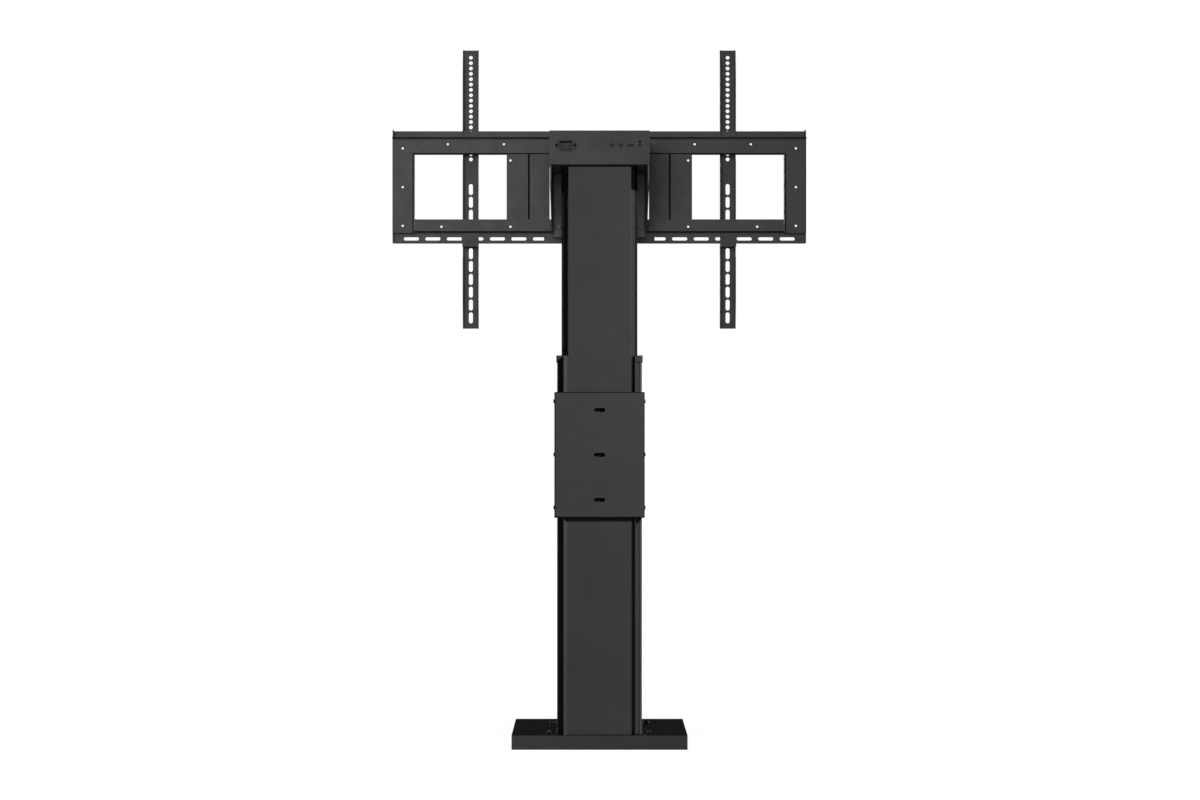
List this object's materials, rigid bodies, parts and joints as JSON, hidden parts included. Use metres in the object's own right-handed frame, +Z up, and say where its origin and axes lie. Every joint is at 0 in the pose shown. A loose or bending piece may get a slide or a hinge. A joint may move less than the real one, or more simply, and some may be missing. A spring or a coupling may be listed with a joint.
{
  "type": "tv lift",
  "caption": "Electric floor lift for a large display: telescopic column on a base plate, wall bracket, control housing, and a slotted frame with hook-on arms.",
  "frame": {"origin": "on the floor, under the middle of the base", "axes": "+X across to the right seen from the wall, +Y from the wall to the display, +Z up"},
  "size_m": [0.96, 0.21, 1.5975],
  "materials": {
    "base_paint": "fine textured black powder coat",
    "column_paint": "fine textured black powder coat",
    "bracket_paint": "fine textured black powder coat",
    "frame_paint": "fine textured black powder coat",
    "housing_paint": "fine textured black powder coat",
    "arm_paint": "fine textured black powder coat",
    "dark_fastener": "black oxide with light oil sheen",
    "bare_steel": "machined steel",
    "bright_screw": "zinc plated",
    "black_plastic": "moulded, fine grain",
    "socket_plastic": "smooth moulded",
    "bronze": "machined bronze",
    "board_green": "solder masked laminate",
    "supply_case": "folded sheet",
    "lamp_lens": "dark tinted lens"
  },
  "bodies": {
    "base": {"base_cover": "base_paint", "base_plate": "bare_steel", "base_bolts": "dark_fastener", "base_washers": "dark_fastener", "lower_column": "column_paint", "column_foot": "bare_steel", "foot_screws": "bright_screw", "foot_side_screws": "dark_fastener", "wall_bracket": "bracket_paint", "bracket_screws": "dark_fastener", "bracket_spacers": "dark_fastener", "push_tube": "bare_steel", "tube_screws": "bright_screw", "spindle_nut": "bronze", "guide_cap_left": "black_plastic", "guide_cap_right": "black_plastic"},
    "lift": {"upper_column": "column_paint", "glide_strip_left": "black_plastic", "glide_strip_right": "black_plastic", "glide_shoe_left": "black_plastic", "glide_shoe_right": "black_plastic", "head_plate": "bracket_paint", "head_screws": "dark_fastener", "plate_side_screws": "dark_fastener", "motor_posts": "bare_steel", "bearing_block": "bare_steel", "spindle_bearing": "bare_steel", "gearbox": "supply_case", "motor": "bare_steel", "carriage_bracket": "bracket_paint", "carriage_screws": "dark_fastener", "carriage_nuts": "bright_screw", "control_housing": "housing_paint", "housing_floor": "housing_paint", "mains_inlet": "socket_plastic", "inlet_screws": "dark_fastener", "round_sockets": "socket_plastic", "flat_port": "socket_plastic", "jack_socket": "socket_plastic", "status_lamp": "lamp_lens", "control_board": "board_green", "power_supply": "supply_case", "upper_sheet": "frame_paint", "lower_sheet": "frame_paint", "frame_upright_left": "frame_paint", "frame_upright_right": "frame_paint", "hook_rail": "frame_paint", "slot_rail": "frame_paint", "rail_backing_plate": "frame_paint", "end_plate_left": "frame_paint", "end_plate_right": "frame_paint"},
    "spindle_drive": {"spindle": "bare_steel", "spindle_coupling": "bare_steel"},
    "left_arm": {"arm_left": "arm_paint", "lock_clip_left": "arm_paint", "lock_bolt_left": "dark_fastener"},
    "right_arm": {"arm_right": "arm_paint", "lock_clip_right": "arm_paint", "lock_bolt_right": "dark_fastener"}
  },
  "joints": [
    {"name": "lift", "type": "slide", "parent": "base", "child": "lift", "axis": [0, 0, 1], "range_m": [-0.42, 0.2]},
    {"name": "spindle", "type": "hinge", "parent": "lift", "child": "spindle_drive", "pos_m": [0, -0.042, 1], "axis": [0, 0, 1], "range_deg": [-18905, 9005]},
    {"name": "arm_left", "type": "slide", "parent": "lift", "child": "left_arm", "axis": [1, 0, 0], "range_m": [-0.158, 0.2]},
    {"name": "arm_right", "type": "slide", "parent": "lift", "child": "right_arm", "axis": [1, 0, 0], "range_m": [-0.2, 0.158]}
  ],
  "couplings": [
    {"joint": "spindle", "follows": "lift", "rad_per_m": 785.4}
  ]
}
